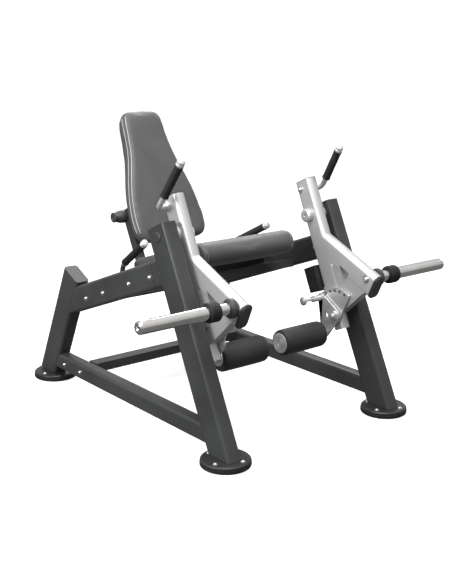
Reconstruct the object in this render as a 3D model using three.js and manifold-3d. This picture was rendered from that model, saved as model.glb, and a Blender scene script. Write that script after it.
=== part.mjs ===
// Plate-loaded leg extension with two independent lever arms.
// Millimetres, +Z up, the user faces -Y, the user's left is +X, the floor is z = 0.
import * as THREE from "three";
import { mergeVertices } from "three/addons/utils/BufferGeometryUtils.js";
import Module from "manifold-3d";

const wasm = await Module();
wasm.setup();

const gap = 0.4;                 // clearance between neighbouring pieces
const radians = Math.PI / 180;

// Side frames
const frameX = 420;              // centre plane of each side frame
const footY = 610;               // feet stand at y = -footY and +footY
const footRadius = 95;
const padHeight = 16;
const plateHeight = 12;
const legDepth = 115;            // tube section of the legs and posts
const legWidth = 64;
const legCorner = 13;
const legLean = 25.7;            // the front legs lean back
const legFootY = -618;
const legTopZ = 817;
const postLean = 25.7;           // the rear posts lean forward
const postFootY = 645;
const postTopZ = 514;
const sideWidth = 60;            // width of the tubes between leg and post
const sideDepth = 105;
const sideFront = [-316, 670];
const sideRear = [452, 380];
const seamWidth = 3;
const seamDepth = 1.6;
const seamsY = [118, -212];      // joints of the bolted side tube
const baseHeight = 70;
const baseZ = 94;
const baseCross = { y: 335, z: 109, depth: 60, height: 40 };

// Lever arms
const armX = 341;                // centre plane of each arm
const armWidth = 50;
const armDepth = 92;
const armCorner = 20;
const armLean = 24.5;
const armTop = [-194, 915];
const pivot = [-243, 779];
const pivotRadius = 15;
const bearingRadius = 34;
const branchDepth = 98;
const branchRoot = [-287, 681];
const branchEnd = [-605, 542];
const lowerDepth = 50;
const armFootZ = 338;
const mainLength = 510;          // from the top of the arm down to the gusset
const webThickness = 44;
const webOutline = [             // gusset between the foot and the branch
  [-588, 524], [-560, 508], [-500, 451], [-440, 398], [-400, 400], [-370, 560], [-420, 640], [-560, 590],
];
const webWindow = [[-428, 602], [-484, 574], [-452, 528]];
const hubRadius = 28;
const capHeight = 11;
const stop = { from: 350, to: 456, thick: 66, inner: 301, outer: 380, plateIn: 374, behind: 62, ahead: 60 };

// Push handles at the top of the arms
const pushRoot = [-190, 878];
const pushBend = [[396, -189, 877], [415, -208, 886]];
const pushLow = [416, -232, 915];
const pushHigh = [401, -322, 1056];
const pushGripFrom = 12;
const pushGripRadius = 16.5;

// Weight horns
const horn = [-578, 570];
const hornRadius = 24;
const hornNeck = 22;
const hornTip = 771;
const bossRadius = 36;
const bossLength = 24;
const collarRadius = 36;
const collarStart = 438;
const collarLength = 45;

// Start-angle adjusters and shin rollers
const swivel = [-429, 391];
const indexRadius = 101;
const indexAngles = [54, 38.5, 23, 7.5, -8, -23.5];
const indexHole = 6.6;
const sectorRadius = 116;
const sectorThickness = 8;
const linkThickness = 8;
const linkGap = 3;
const pinRadius = 6;
const pinKnobRadius = 18;
const pinKnobX = 190;
const housingRadius = 13;
const swivelPin = 12;
const rollerCentre = [-376, 308];
const rollerRadius = 53;
const rollerInner = 48;
const rollerOuter = 272;
const coreRadius = 16;
const axleRadius = 10;
const endDiscRadius = 41;

// Seat
const seatHalfWidth = 241;
const seatTilt = 18;
const rollCentre = [-207, 672];  // rounded front edge of the seat
const rollRadius = 47;
const seatLength = 471;          // from the roll's centre to the rear end, along the seat
const seatThickness = 72;
const panThickness = 12;
const railX = 143;
const railSize = 32;
const railFrom = 45;
const railTo = 661;
const crossSize = 36;
const frontCrossAt = 180;        // along the seat from the roll's centre
const rearCrossAt = 529;
const gripLow = [272, 248, 569]; // hand grip beside the seat
const gripHigh = [324, 26, 694];
const gripRadius = 16;
const handleRadius = 11;

// Backrest
const backLean = 26;
const backFoot = [252.8, 636.1];
const backThickness = 64;
const backHeight = 602;
const backBoard = 12;
const backOutline = [             // half width and height up the pad
  [146, 0], [174, 10], [187, 36], [193, 90], [190, 150], [182, 210], [168, 270], [148, 335],
  [131, 395], [118, 478], [110, 550], [99, 588], [76, 602],
];
const barThickness = 26;
const barDepth = 44;
const shoeLength = 110;
const shoeCheek = 7;
const backPin = { rise: 158, out: 113, radius: 8, shoulder: 15.6, length: 58.6 };

function solid(geometry) {
  const bare = new THREE.BufferGeometry();
  bare.setAttribute("position", geometry.getAttribute("position"));
  if (geometry.index) bare.setIndex(geometry.index);
  const welded = mergeVertices(bare, 1e-4);
  return new wasm.Manifold(new wasm.Mesh({
    numProp: 3,
    vertProperties: new Float32Array(welded.getAttribute("position").array),
    triVerts: new Uint32Array(welded.index.array),
  }));
}

function toGeometry(body) {
  const data = body.getMesh();
  const geometry = new THREE.BufferGeometry();
  geometry.setAttribute("position", new THREE.BufferAttribute(data.vertProperties, 3));
  geometry.setIndex(new THREE.BufferAttribute(data.triVerts, 1));
  const faceted = geometry.toNonIndexed();
  faceted.computeVertexNormals();
  return faceted;
}

function roundedSection(width, depth, corner, steps = 3) {
  const shape = new THREE.Shape();
  const w = width / 2 - corner;
  const d = depth / 2 - corner;
  const points = [];
  for (const [cx, cy, start] of [[w, d, 0], [-w, d, 90], [-w, -d, 180], [w, -d, 270]]) {
    for (let i = 0; i <= steps; i += 1) {
      const angle = (start + (90 * i) / steps) * radians;
      points.push(new THREE.Vector2(cx + corner * Math.cos(angle), cy + corner * Math.sin(angle)));
    }
  }
  shape.setFromPoints(points);
  return shape;
}

// Prism in a plane of constant x from one (y, z) point to another, cut square at both ends
function sideBar(x, from, to, width, depth, corner, steps = 3) {
  const axis = new THREE.Vector3(0, to[0] - from[0], to[1] - from[1]);
  const length = axis.length();
  axis.normalize();
  const across = new THREE.Vector3(1, 0, 0);
  const normal = new THREE.Vector3().crossVectors(axis, across);
  const shape = roundedSection(width, depth, corner, steps);
  const geometry = new THREE.ExtrudeGeometry(shape, { depth: length, bevelEnabled: false });
  geometry.applyMatrix4(new THREE.Matrix4().makeBasis(across, normal, axis)
    .setPosition(x, from[0], from[1]));
  return solid(geometry);
}

// Prism along x from x0 to x1 with a (y, z) outline
function crossBar(x0, x1, outline) {
  const shape = new THREE.Shape(outline.map(([y, z]) => new THREE.Vector2(y, z)));
  const geometry = new THREE.ExtrudeGeometry(shape, { depth: Math.abs(x1 - x0), bevelEnabled: false });
  geometry.applyMatrix4(new THREE.Matrix4().makeBasis(
    new THREE.Vector3(0, 1, 0), new THREE.Vector3(0, 0, 1), new THREE.Vector3(1, 0, 0),
  ).setPosition(Math.min(x0, x1), 0, 0));
  return solid(geometry);
}

// Turned piece along x: pairs of [x, radius], either from axis to axis or a closed ring
function turned(profile, centre, segments = 16) {
  const points = profile.map(([x, r]) => new THREE.Vector2(r, x));
  if (THREE.ShapeUtils.area(points) < 0) points.reverse();
  const geometry = new THREE.LatheGeometry(points, segments);
  geometry.applyMatrix4(new THREE.Matrix4().makeBasis(
    new THREE.Vector3(0, 1, 0), new THREE.Vector3(1, 0, 0), new THREE.Vector3(0, 0, -1),
  ).setPosition(0, centre[0], centre[1]));
  return solid(geometry);
}

function rodX(x0, x1, radius, centre, segments = 16) {
  return turned([[x0, 0], [x0, radius], [x1, radius], [x1, 0]], centre, segments);
}

function box(x0, x1, y0, y1, z0, z1) {
  const geometry = new THREE.BoxGeometry(Math.abs(x1 - x0), Math.abs(y1 - y0), Math.abs(z1 - z0));
  geometry.translate((x0 + x1) / 2, (y0 + y1) / 2, (z0 + z1) / 2);
  return solid(geometry);
}

// Outline around two circles joined by their tangents, in (y, z)
function linkOutline(a, ra, b, rb, steps = 5) {
  const along = Math.atan2(b[1] - a[1], b[0] - a[0]);
  const span = Math.hypot(b[0] - a[0], b[1] - a[1]);
  const open = Math.acos((ra - rb) / span);
  const points = [];
  for (let i = 0; i <= steps; i += 1) {
    const t = along + open + ((2 * Math.PI - 2 * open) * i) / steps;
    points.push([a[0] + ra * Math.cos(t), a[1] + ra * Math.sin(t)]);
  }
  for (let i = 0; i <= steps; i += 1) {
    const t = along - open + (2 * open * i) / steps;
    points.push([b[0] + rb * Math.cos(t), b[1] + rb * Math.sin(t)]);
  }
  return points;
}

// Round tube along a smooth path
function bentRod(points, radius, steps, segments = 8) {
  const path = new THREE.CatmullRomCurve3(points.map((p) => new THREE.Vector3(...p)), false, "centripetal");
  const circle = new THREE.Shape();
  const ring = [];
  for (let i = 0; i < segments; i += 1) {
    const t = (2 * Math.PI * i) / segments;
    ring.push(new THREE.Vector2(radius * Math.cos(t), radius * Math.sin(t)));
  }
  circle.setFromPoints(ring);
  return solid(new THREE.ExtrudeGeometry(circle, { steps, extrudePath: path, bevelEnabled: false }));
}

// Turned piece along any direction: profile pairs of [distance, radius]
function turnedAlong(from, to, profile, segments = 12) {
  const points = profile.map(([d, r]) => new THREE.Vector2(r, d));
  if (THREE.ShapeUtils.area(points) < 0) points.reverse();
  const geometry = new THREE.LatheGeometry(points, segments);
  const axis = new THREE.Vector3(...to).sub(new THREE.Vector3(...from)).normalize();
  const turn = new THREE.Quaternion().setFromUnitVectors(new THREE.Vector3(0, 1, 0), axis);
  geometry.applyMatrix4(new THREE.Matrix4().makeRotationFromQuaternion(turn).setPosition(...from));
  return solid(geometry);
}

const paint = {
  frame: [0x33363a, 0.55, 0.3],
  arm: [0xb9bbbd, 0.45, 0.4],
  chrome: [0xd8dadc, 0.12, 1],
  rubber: [0x161616, 0.8, 0],
  vinyl: [0x55575a, 0.6, 0],
  foam: [0x232427, 0.75, 0],
  cap: [0x26282a, 0.6, 0],
  steel: [0xa9acae, 0.35, 0.9],
};

const machine = new THREE.Group();
machine.name = "leg_extension";

function add(name, body, finish) {
  const [colour, roughness, metalness] = paint[finish];
  const material = new THREE.MeshStandardMaterial({ color: colour, roughness, metalness });
  const mesh = new THREE.Mesh(toGeometry(body), material);
  mesh.name = name;
  machine.add(mesh);
}

const tanLeg = Math.tan(legLean * radians);
const tanPost = Math.tan(postLean * radians);
const floorCut = padHeight + plateHeight + 2 * gap;

function legBar(x, grow = 0) {
  return sideBar(x, [legFootY - 60 * tanLeg, -60], [legFootY + legTopZ * tanLeg, legTopZ],
    legWidth + 2 * grow, legDepth + 2 * grow, legCorner + grow);
}

function postBar(x, grow = 0) {
  return sideBar(x, [postFootY + 60 * tanPost, -60], [postFootY - postTopZ * tanPost, postTopZ],
    legWidth + 2 * grow, legDepth + 2 * grow, legCorner + grow);
}

// Point of the arm's own axes: distance down from its top, and out behind its centre line, in (y, z)
function armPoint(along, out) {
  const sin = Math.sin(armLean * radians);
  const cos = Math.cos(armLean * radians);
  return [armTop[0] - along * sin + out * cos, armTop[1] - along * cos - out * sin];
}

function addSideFrame(side, label) {
  const x = side * frameX;
  const belowFoot = box(x - 200, x + 200, -1000, 1000, -300, floorCut);
  const shaftBore = rodX(x - 100, x + 100, pivotRadius + gap, pivot);
  add(`front_leg_${label}`, legBar(x).subtract(belowFoot).subtract(shaftBore), "frame");
  add(`rear_post_${label}`, postBar(x).subtract(belowFoot), "frame");

  const slope = (sideRear[1] - sideFront[1]) / (sideRear[0] - sideFront[0]);
  let sideTube = sideBar(x, sideFront, sideRear, sideWidth, sideDepth, legCorner)
    .subtract(legBar(x, gap)).subtract(postBar(x, gap));
  for (const y of seamsY) {
    const at = [y, sideFront[1] + slope * (y - sideFront[0])];
    const to = [at[0] + seamWidth, at[1] + slope * seamWidth];
    const outer = sideBar(x, at, to, 2 * sideWidth, 2 * sideDepth, legCorner);
    const core = sideBar(x, [y - seamWidth, at[1] - slope * seamWidth],
      [y + 2 * seamWidth, at[1] + 2 * slope * seamWidth],
      sideWidth - 2 * seamDepth, sideDepth - 2 * seamDepth, legCorner - seamDepth);
    sideTube = sideTube.subtract(outer.subtract(core));
  }
  const pieces = sideTube.decompose().sort((a, b) => b.volume() - a.volume());
  add(`side_tube_${label}`, pieces[0], "frame");

  const baseBar = sideBar(x, [legFootY + baseZ * tanLeg, baseZ], [postFootY - baseZ * tanPost, baseZ],
    sideWidth, baseHeight, legCorner)
    .subtract(legBar(x, gap)).subtract(postBar(x, gap));
  add(`base_tube_${label}`, baseBar.decompose().sort((a, b) => b.volume() - a.volume())[0], "frame");

  for (const [where, y] of [["front", -footY], ["rear", footY]]) {
    const bevel = 3;
    const pad = [[0, 0], [0, footRadius - bevel], [bevel, footRadius], [padHeight, footRadius],
      [padHeight, 0]];
    const low = padHeight + gap;
    const high = low + plateHeight;
    const plate = [[low, 0], [low, footRadius], [high - bevel, footRadius], [high, footRadius - bevel],
      [high, 0]];
    add(`foot_pad_${where}_${label}`, turnedAlong([x, y, 0], [x, y, 1], pad, 24), "rubber");
    add(`foot_plate_${where}_${label}`, turnedAlong([x, y, 0], [x, y, 1], plate, 24), "frame");
  }

  // Fixed pivot shaft with its inner cap and the small plug on the outer face of the leg
  const capOut = armX - armWidth / 2 - gap;
  const legOut = frameX + legWidth / 2 + gap;
  const socket = 7;
  add(`pivot_shaft_${label}`, turned([
    [side * (capOut - 12), 0], [side * (capOut - 12), socket], [side * (capOut - 22), socket],
    [side * (capOut - 22), hubRadius - 3], [side * (capOut - 19), hubRadius],
    [side * capOut, hubRadius], [side * capOut, pivotRadius], [side * legOut, pivotRadius],
    [side * legOut, 22], [side * (legOut + 4), 20], [side * (legOut + 4), 0],
  ], pivot), "chrome");

  // Rest stop behind the arm: a padded block on a plate against the inner face of the leg
  const rear = armDepth / 2 + 1.5 * gap;
  const slab = (low, high) => [armPoint(stop.from, low), armPoint(stop.to, low),
    armPoint(stop.to, high), armPoint(stop.from, high)];
  const block = crossBar(side * stop.inner, side * stop.outer, slab(rear, rear + stop.thick));
  const plateX = frameX - legWidth / 2 - gap;
  const plate = crossBar(side * stop.plateIn, side * plateX, slab(rear - stop.behind, rear + stop.ahead));
  add(`arm_stop_${label}`, block.add(plate), "rubber");
}

function addArm(side, label) {
  const x = side * armX;
  const inner = armX - armWidth / 2;
  const outer = armX + armWidth / 2;
  const footLength = (armTop[1] - armFootZ) / Math.cos(armLean * radians);
  const rearOffset = armDepth / 2 - lowerDepth / 2;
  const main = sideBar(x, armPoint(mainLength, 0), armTop, armWidth, armDepth, armCorner);
  const foot = sideBar(x, armPoint(footLength, rearOffset), armPoint(mainLength - 60, rearOffset),
    armWidth, lowerDepth, 10);
  const branch = sideBar(x, branchRoot, branchEnd, armWidth, branchDepth, armCorner);
  const web = crossBar(x - webThickness / 2, x + webThickness / 2, webOutline);
  const window = crossBar(x - armWidth, x + armWidth, webWindow);
  const bearing = rodX(side * (inner + 2), side * (frameX - legWidth / 2 - 3), bearingRadius, pivot);
  const bore = rodX(side * (inner - armWidth), side * (frameX + legWidth), pivotRadius + gap, pivot);
  const arm = main.add(foot).add(branch).add(web).subtract(window).add(bearing).subtract(bore);
  add(`lever_arm_${label}`, arm, "arm");

  // Dark end cap of the branch
  const along = [branchEnd[0] - branchRoot[0], branchEnd[1] - branchRoot[1]];
  const span = Math.hypot(...along);
  const step = (d) => [branchEnd[0] + (along[0] / span) * d, branchEnd[1] + (along[1] / span) * d];
  const cap = sideBar(x, step(gap), step(capHeight - 4), armWidth + 4, branchDepth + 4, armCorner + 2)
    .add(sideBar(x, step(1), step(capHeight), armWidth - 6, branchDepth - 6, armCorner - 3));
  add(`branch_cap_${label}`, cap, "cap");

  // Bent push handle on the outer face near the top of the arm
  const mirrored = ([px, y, z]) => [side * px, y, z];
  const low = mirrored(pushLow);
  const high = mirrored(pushHigh);
  const lift = new THREE.Vector3(...high).sub(new THREE.Vector3(...low)).normalize();
  const root = [side * (outer + 5), ...pushRoot];
  const reach = new THREE.Vector3(...high).distanceTo(new THREE.Vector3(...low));
  const handle = bentRod([root, ...pushBend.map(mirrored), low], handleRadius, 6)
    .add(turnedAlong(low, high, [[-3, 0], [-3, handleRadius], [reach, handleRadius], [reach, 0]]))
    .add(rodX(side * (outer + gap), side * (outer + 12), 19, pushRoot, 16))
    .add(turnedAlong(high, [high[0] + lift.x, high[1] + lift.y, high[2] + lift.z],
      [[-2, 0], [-2, 15], [9, 15], [13, 9], [13, 0]]));
  add(`arm_handle_${label}`, handle, "steel");
  const from = new THREE.Vector3(...low).addScaledVector(lift, pushGripFrom).toArray();
  const gripLength = reach - pushGripFrom - 2 - gap;
  const gripBore = handleRadius + 0.6;
  add(`arm_grip_${label}`, turnedAlong(from, high, [
    [0, gripBore], [0, pushGripRadius], [gripLength, pushGripRadius], [gripLength, gripBore],
    [0, gripBore],
  ]), "rubber");

  // Weight horn: boss, chromed sleeve and the rubber stop collar
  const bossIn = outer + gap;
  const bossOut = bossIn + bossLength;
  add(`horn_boss_${label}`, turned([
    [side * bossIn, 0], [side * bossIn, bossRadius], [side * (bossOut - 4), bossRadius],
    [side * bossOut, bossRadius - 5], [side * bossOut, 0],
  ], horn), "cap");
  const collarEnd = collarStart + collarLength;
  add(`horn_sleeve_${label}`, turned([
    [side * (bossOut + gap), 0], [side * (bossOut + gap), hornNeck], [side * (collarEnd + gap), hornNeck],
    [side * (collarEnd + gap), hornRadius], [side * (hornTip - 5), hornRadius],
    [side * hornTip, hornRadius - 5], [side * hornTip, 8], [side * (hornTip - 5), 5], [side * (hornTip - 5), 0],
  ], horn, 20), "chrome");
  add(`horn_collar_${label}`, turned([
    [side * collarStart, hornNeck + gap], [side * collarStart, collarRadius - 4],
    [side * (collarStart + 4), collarRadius], [side * (collarEnd - 4), collarRadius],
    [side * collarEnd, collarRadius - 4], [side * collarEnd, hornNeck + gap],
    [side * collarStart, hornNeck + gap],
  ], horn, 20), "rubber");

  // Index sector on the inner face, centred on the swivel of the roller link
  const sectorOut = inner - gap;
  const sectorIn = sectorOut - sectorThickness;
  const fan = [];
  for (let i = 0; i <= 14; i += 1) {
    const t = (66 - (102 * i) / 14) * radians;
    fan.push([swivel[0] + sectorRadius * Math.sin(t), swivel[1] + sectorRadius * Math.cos(t)]);
  }
  for (let i = 0; i <= 8; i += 1) {
    const t = (-80 - (200 * i) / 8) * radians;
    fan.push([swivel[0] + 30 * Math.sin(t), swivel[1] + 30 * Math.cos(t)]);
  }
  const indexPoint = (angle) => [
    swivel[0] + indexRadius * Math.sin(angle * radians),
    swivel[1] + indexRadius * Math.cos(angle * radians),
  ];
  let sector = crossBar(side * sectorIn, side * sectorOut, fan);
  for (const angle of indexAngles) {
    const hole = rodX(side * (sectorIn - 5), side * (sectorOut + 5), indexHole, indexPoint(angle), 8);
    sector = sector.subtract(hole);
  }
  sector = sector.subtract(rodX(side * (sectorIn - 5), side * (sectorOut + 5), swivelPin + gap, swivel));
  add(`index_sector_${label}`, sector, "arm");

  // Roller link: bell crank with the pin housing, the swivel pin and the roller axle
  const linkOut = sectorIn - linkGap;
  const linkIn = linkOut - linkThickness;
  const pin = indexPoint(indexAngles[0]);
  const upper = crossBar(side * linkIn, side * linkOut, linkOutline(swivel, 27, pin, 19));
  const lower = crossBar(side * linkIn, side * linkOut, linkOutline(swivel, 27, rollerCentre, 22));
  const brace = crossBar(side * linkIn, side * linkOut, linkOutline(pin, 15, rollerCentre, 18));
  const link = upper.add(lower).add(brace)
    .add(rodX(side * (linkIn - 7), side * linkIn, 20, swivel, 6))
    .add(rodX(side * linkOut, side * (sectorIn - gap), 18, swivel))
    .add(rodX(side * linkIn, side * (sectorOut - gap), swivelPin, swivel))
    .add(rodX(side * (linkIn - 46), side * linkIn, housingRadius, pin, 12))
    .add(rodX(side * (rollerInner + 6), side * linkIn, axleRadius, rollerCentre, 12))
    .subtract(rodX(side * (linkIn - 60), side * (linkOut + 5), pinRadius + gap, pin, 12));
  add(`roller_link_${label}`, link, "arm");

  const pinTip = sectorIn - gap;
  add(`pull_pin_${label}`, turned([
    [side * pinKnobX, 0], [side * pinKnobX, pinKnobRadius - 6], [side * (pinKnobX + 4), pinKnobRadius],
    [side * (pinKnobX + 12), pinKnobRadius], [side * (pinKnobX + 17), pinKnobRadius - 7],
    [side * (pinKnobX + 17), pinRadius], [side * pinTip, pinRadius], [side * pinTip, 0],
  ], pin, 12), "chrome");

  // Shin roller: hollow core with end discs inside a foam sleeve
  add(`roller_core_${label}`, turned([
    [side * (rollerInner - 3), 0], [side * (rollerInner - 3), endDiscRadius],
    [side * rollerInner, endDiscRadius], [side * rollerInner, coreRadius],
    [side * (rollerOuter - 3), coreRadius], [side * (rollerOuter - 3), endDiscRadius - 11],
    [side * rollerOuter, endDiscRadius - 11], [side * rollerOuter, axleRadius + gap],
    [side * (rollerInner + 5), axleRadius + gap], [side * (rollerInner + 5), 0],
  ], rollerCentre, 20), "steel");
  const foamIn = rollerInner + gap;
  const foamOut = rollerOuter - 3 - gap;
  add(`roller_foam_${label}`, turned([
    [side * foamIn, coreRadius + gap], [side * foamIn, rollerRadius - 8],
    [side * (foamIn + 3), rollerRadius - 3], [side * (foamIn + 9), rollerRadius],
    [side * (foamOut - 9), rollerRadius], [side * (foamOut - 3), rollerRadius - 3],
    [side * foamOut, rollerRadius - 8], [side * foamOut, coreRadius + gap],
    [side * foamIn, coreRadius + gap],
  ], rollerCentre, 20), "foam");
}

// Point of the seat's own axes: distance back along the seat from the roll, and height off its plane
function seatPoint(along, off) {
  const cos = Math.cos(seatTilt * radians);
  const sin = Math.sin(seatTilt * radians);
  return [rollCentre[0] + along * cos + off * sin, rollCentre[1] - along * sin + off * cos];
}

const seatLow = rollRadius - seatThickness;
const panLow = seatLow - gap - panThickness;
const railTop = panLow - gap;
const railLow = railTop - railSize;

function seatSlab(x0, x1, from, to, low, high) {
  return crossBar(x0, x1, [
    seatPoint(from, low), seatPoint(to, low), seatPoint(to, high), seatPoint(from, high),
  ]);
}

function crossTube(x0, x1, along, grow) {
  const top = railLow - gap;
  return seatSlab(x0, x1, along - crossSize / 2 - grow, along + crossSize / 2 + grow,
    top - crossSize - grow, top + grow);
}

function addSeat() {
  const outline = [];
  const start = Math.asin(seatLow / rollRadius);
  const sweep = 1.5 * Math.PI + start;
  for (let i = 0; i <= 12; i += 1) {
    const t = start - (sweep * i) / 12;
    outline.push(seatPoint(rollRadius * Math.cos(t), rollRadius * Math.sin(t)));
  }
  outline.push(seatPoint(seatLength - 12, rollRadius), seatPoint(seatLength, rollRadius - 14));
  outline.push(seatPoint(seatLength, seatLow));
  const bevel = 14;
  const shape = new THREE.Shape(outline.map(([y, z]) => new THREE.Vector2(y, z)));
  const cushion = new THREE.ExtrudeGeometry(shape, {
    depth: 2 * (seatHalfWidth - bevel), bevelEnabled: true, bevelThickness: bevel,
    bevelSize: bevel, bevelOffset: -bevel, bevelSegments: 2,
  });
  cushion.applyMatrix4(new THREE.Matrix4().makeBasis(
    new THREE.Vector3(0, 1, 0), new THREE.Vector3(0, 0, 1), new THREE.Vector3(1, 0, 0),
  ).setPosition(-seatHalfWidth + bevel, 0, 0));
  add("seat_cushion", solid(cushion), "vinyl");

  const panFront = Math.sqrt(rollRadius ** 2 - seatLow ** 2) + 2;
  const panHalf = seatHalfWidth - 12;
  add("seat_pan", seatSlab(-panHalf, panHalf, panFront, seatLength - 10, panLow, seatLow - gap), "frame");

  // Rails under the pan, resting on two cross tubes between the side frames
  const reach = frameX - sideWidth / 2 - gap;
  for (const [label, along] of [["front", frontCrossAt], ["rear", rearCrossAt]]) {
    add(`seat_cross_${label}`, crossTube(-reach, reach, along, 0), "frame");
  }
  for (const [side, label] of [[1, "left"], [-1, "right"]]) {
    const x = side * railX;
    add(`seat_rail_${label}`,
      seatSlab(x - railSize / 2, x + railSize / 2, railFrom, railTo, railLow, railTop), "frame");
    addSeatHandle(side, label);
  }
  const half = baseCross.depth / 2;
  add("base_cross", box(-reach, reach, baseCross.y - half, baseCross.y + half,
    baseCross.z - baseCross.height / 2, baseCross.z + baseCross.height / 2), "frame");
}

// Bent tube from the rear cross tube up to the grip beside the seat
function addSeatHandle(side, label) {
  const low = [side * gripLow[0], gripLow[1], gripLow[2]];
  const high = [side * gripHigh[0], gripHigh[1], gripHigh[2]];
  const lift = new THREE.Vector3(...high).sub(new THREE.Vector3(...low)).normalize();
  const reach = new THREE.Vector3(...high).distanceTo(new THREE.Vector3(...low));
  const [rootY, footZ] = seatPoint(rearCrossAt, railLow);
  const foot = [low[0] - side * 3, rootY, footZ - 8];
  const elbow = [low[0] - side * 2, low[1] + 20, low[2] - 26];
  const tube = bentRod([[foot[0], foot[1], foot[2] + 2], [foot[0], foot[1], foot[2] + 50], elbow, low],
    handleRadius, 6)
    .add(turnedAlong(low, high, [[-2, 0], [-2, handleRadius], [reach, handleRadius], [reach, 0]]))
    .add(turnedAlong(foot, [foot[0], foot[1], foot[2] + 1],
      [[0, 0], [0, handleRadius + 5], [14, handleRadius + 5], [14, 0]], 12))
    .subtract(crossTube(foot[0] - 50, foot[0] + 50, rearCrossAt, gap));
  const end = turnedAlong(high, [high[0] + lift.x, high[1] + lift.y, high[2] + lift.z],
    [[-2, 0], [-2, gripRadius - 2], [8, gripRadius - 2], [11, gripRadius - 7], [11, 0]]);
  add(`seat_handle_${label}`, tube.add(end), "frame");
  const from = new THREE.Vector3(...low).addScaledVector(lift, 6).toArray();
  const gripLength = reach - 6 - 3;
  const bore = handleRadius + 0.6;
  add(`seat_grip_${label}`, turnedAlong(from, high, [
    [0, bore], [0, gripRadius], [gripLength, gripRadius], [gripLength, bore], [0, bore],
  ]), "rubber");
}

function addBack() {
  const up = [Math.sin(backLean * radians), Math.cos(backLean * radians)];
  const back = [Math.cos(backLean * radians), -Math.sin(backLean * radians)];
  const points = [...backOutline, ...backOutline.map(([x, s]) => [-x, s]).reverse()];
  const shape = new THREE.Shape(points.map(([x, s]) => new THREE.Vector2(x, s)));
  const bevel = 12;
  const pad = new THREE.ExtrudeGeometry(shape, {
    depth: backThickness - 2 * bevel, bevelEnabled: true, bevelThickness: bevel,
    bevelSize: bevel, bevelOffset: -bevel, bevelSegments: 2,
  });
  const basis = new THREE.Matrix4().makeBasis(
    new THREE.Vector3(-1, 0, 0), new THREE.Vector3(0, up[0], up[1]), new THREE.Vector3(0, back[0], back[1]),
  );
  const at = (rise, out) => [
    backFoot[0] + up[0] * rise + back[0] * out, backFoot[1] + up[1] * rise + back[1] * out,
  ];
  const place = (out) => basis.clone().setPosition(0, ...at(0, out));
  pad.applyMatrix4(place(bevel));
  add("back_cushion", solid(pad), "vinyl");

  const inset = 14;
  const board = new THREE.ExtrudeGeometry(new THREE.Shape(points.map(([x, s]) => new THREE.Vector2(
    x - Math.sign(x) * inset, Math.min(Math.max(s, inset), backHeight - inset),
  ))), { depth: backBoard, bevelEnabled: false });
  board.applyMatrix4(place(backThickness + gap));
  add("back_board", solid(board), "cap");

  // Carriage: two raked bars on saddles over the seat rails, tied by two cross bars
  const barIn = backThickness + backBoard + 2 * gap;
  const barOut = barIn + barDepth;
  const barTop = backPin.rise + 26;
  const footRise = -139;
  const shoeMid = at(footRise, barIn + barDepth / 2)[0] + 24;
  const shoeAlong = (shoeMid - rollCentre[0] - railTop * Math.sin(seatTilt * radians))
    / Math.cos(seatTilt * radians);
  const pin = at(backPin.rise, backPin.out);
  const cheek = railSize / 2 + gap + shoeCheek;
  let carriage = null;
  for (const side of [1, -1]) {
    const x = side * railX;
    const bar = crossBar(x - barThickness / 2, x + barThickness / 2, [
      at(footRise, barIn), at(barTop, barIn), at(barTop, barOut - 12), at(barTop - 12, barOut),
      at(footRise, barOut),
    ]);
    const below = seatSlab(x - 40, x + 40, shoeAlong - 300, shoeAlong + 300, railTop - 400, railTop + gap);
    const shoe = seatSlab(x - cheek, x + cheek, shoeAlong - shoeLength / 2, shoeAlong + shoeLength / 2,
      railLow + 4, railTop + 10);
    const channel = seatSlab(x - railSize / 2 - gap, x + railSize / 2 + gap,
      shoeAlong - 300, shoeAlong + 300, railLow - 10, railTop + gap);
    const half = bar.subtract(below).add(shoe.subtract(channel));
    carriage = carriage ? carriage.add(half) : half;
  }
  for (const rise of [37, 131]) {
    carriage = carriage.add(crossBar(-railX, railX, [
      at(rise, barIn), at(rise + 40, barIn), at(rise + 40, barIn + 18), at(rise, barIn + 18),
    ]));
  }
  const pinBore = rodX(-railX - 40, -railX + 40, backPin.radius + gap, pin, 16);
  add("back_carriage", carriage.subtract(pinBore), "frame");

  // Adjuster pin with its tapered knob on the user's right side
  const stemIn = -(railX - barThickness / 2);
  const knobIn = -(railX + barThickness / 2 + gap);
  const knobTip = knobIn - backPin.length;
  add("back_pin", turned([
    [stemIn, 0], [stemIn, backPin.radius], [knobIn, backPin.radius], [knobIn, 28],
    [knobIn - backPin.shoulder, 28], [knobTip + 9, 20], [knobTip + 7, 22], [knobTip + 2, 22],
    [knobTip, 19], [knobTip, 0],
  ], pin), "cap");
}

addSideFrame(1, "left");
addSideFrame(-1, "right");
addArm(1, "left");
addArm(-1, "right");
addSeat();
addBack();

export default machine;
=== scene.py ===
import math

import bmesh
import bpy
from mathutils import Matrix, Vector
from mathutils.bvhtree import BVHTree


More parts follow.
